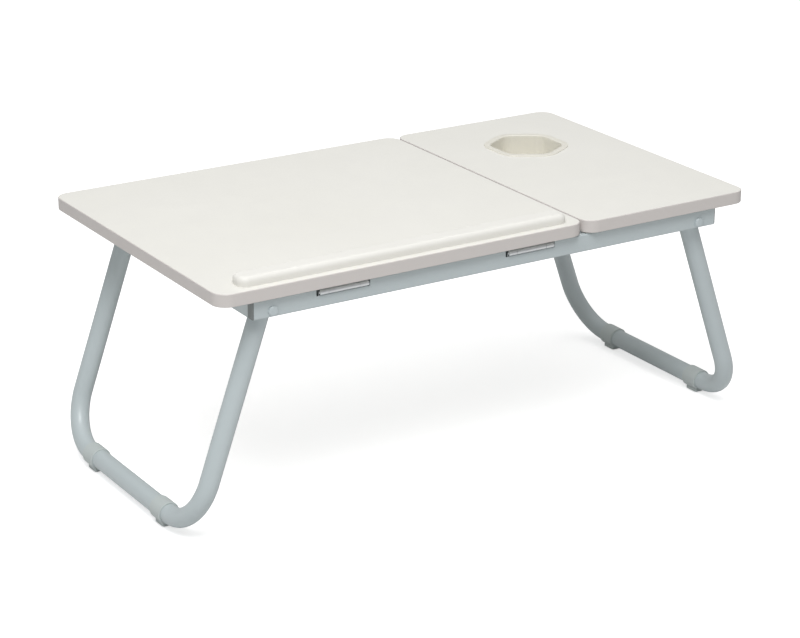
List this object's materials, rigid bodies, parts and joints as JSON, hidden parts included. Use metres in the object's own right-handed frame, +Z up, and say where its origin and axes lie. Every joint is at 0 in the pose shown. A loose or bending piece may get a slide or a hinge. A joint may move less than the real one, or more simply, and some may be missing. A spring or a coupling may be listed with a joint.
{
  "type": "folding tray table",
  "caption": "Low folding bed tray table: tilting main board with stop ledge, fixed side board with hexagonal cup holder, tube frame and folding U legs.",
  "frame": {"origin": "on the floor under the centre of the table, the bottom centre of the whole table with its legs open", "axes": "+X along the long side towards the cup holder, +Y towards the back (the edge that lifts), +Z up"},
  "size_m": [0.6572, 0.35, 0.259],
  "materials": {
    "laminate": "off-white melamine laminate on fibreboard, satin",
    "edge_band": "off-white edge strip, satin",
    "ledge": "off-white wrapped fibreboard, satin",
    "cup_plastic": "cream moulded plastic, semi-gloss",
    "powder_coat": "pale grey-green powder coat, semi-gloss",
    "rivet_coat": "pale grey coated rivet",
    "plated_steel": "bright plated steel",
    "zinc_steel": "zinc plated steel",
    "nylon": "natural white nylon",
    "foot_plastic": "pale grey moulded plastic",
    "rubber_pad": "black rubber",
    "plug_plastic": "dark grey moulded plastic"
  },
  "bodies": {
    "frame": {"back_left_pivot_rivet": "rivet_coat", "back_left_pivot_washer": "nylon", "back_left_rail_plug": "plug_plastic", "back_rail": "powder_coat", "back_right_pivot_rivet": "rivet_coat", "back_right_pivot_washer": "nylon", "back_right_rail_plug": "plug_plastic", "centre_strap": "powder_coat", "cup_holder": "cup_plastic", "front_left_pivot_rivet": "rivet_coat", "front_left_pivot_washer": "nylon", "front_left_rail_plug": "plug_plastic", "front_rail": "powder_coat", "front_right_pivot_rivet": "rivet_coat", "front_right_pivot_washer": "nylon", "front_right_rail_plug": "plug_plastic", "left_end_bar": "powder_coat", "left_hinge_frame_leaf": "plated_steel", "left_hinge_pin": "plated_steel", "left_rack": "powder_coat", "panel_bumper_1": "rubber_pad", "panel_bumper_2": "rubber_pad", "rack_strap": "powder_coat", "right_end_bar": "powder_coat", "right_hinge_frame_leaf": "plated_steel", "right_hinge_pin": "plated_steel", "right_rack": "powder_coat", "side_panel": "laminate", "side_panel_edge_band": "edge_band", "side_panel_screw_1": "zinc_steel", "side_panel_screw_2": "zinc_steel", "side_panel_screw_3": "zinc_steel", "side_panel_screw_4": "zinc_steel"},
    "main_board": {"main_panel": "laminate", "main_panel_edge_band": "edge_band", "stop_ledge": "ledge", "left_hinge_panel_leaf": "plated_steel", "right_hinge_panel_leaf": "plated_steel", "left_hinge_screw_1": "zinc_steel", "left_hinge_screw_2": "zinc_steel", "right_hinge_screw_1": "zinc_steel", "right_hinge_screw_2": "zinc_steel", "left_prop_clip": "nylon", "right_prop_clip": "nylon", "left_prop_clip_screw": "zinc_steel", "right_prop_clip_screw": "zinc_steel"},
    "prop": {"prop_rod": "zinc_steel"},
    "left_leg": {"left_leg_tube": "powder_coat", "left_front_foot_clip": "foot_plastic", "left_front_foot_pad": "rubber_pad", "left_back_foot_clip": "foot_plastic", "left_back_foot_pad": "rubber_pad"},
    "right_leg": {"right_leg_tube": "powder_coat", "right_front_foot_clip": "foot_plastic", "right_front_foot_pad": "rubber_pad", "right_back_foot_clip": "foot_plastic", "right_back_foot_pad": "rubber_pad"}
  },
  "joints": [
    {"name": "main_board_tilt", "type": "hinge", "parent": "frame", "child": "main_board", "pos_m": [0, -0.1705, 0.233], "axis": [1, 0, 0], "range_deg": [0, 34]},
    {"name": "prop_swing", "type": "hinge", "parent": "main_board", "child": "prop", "pos_m": [-0.1003, -0.0375, 0.234], "axis": [1, 0, 0], "range_deg": [-68, 0]},
    {"name": "left_leg_fold", "type": "hinge", "parent": "frame", "child": "left_leg", "pos_m": [-0.243, 0, 0.2245], "axis": [0, -1, 0], "range_deg": [0, 109.5]},
    {"name": "right_leg_fold", "type": "hinge", "parent": "frame", "child": "right_leg", "pos_m": [0.243, 0, 0.2245], "axis": [0, 1, 0], "range_deg": [0, 109.5]}
  ],
  "couplings": [
    {"joint": "prop_swing", "follows": "main_board_tilt", "ratio": -2}
  ]
}
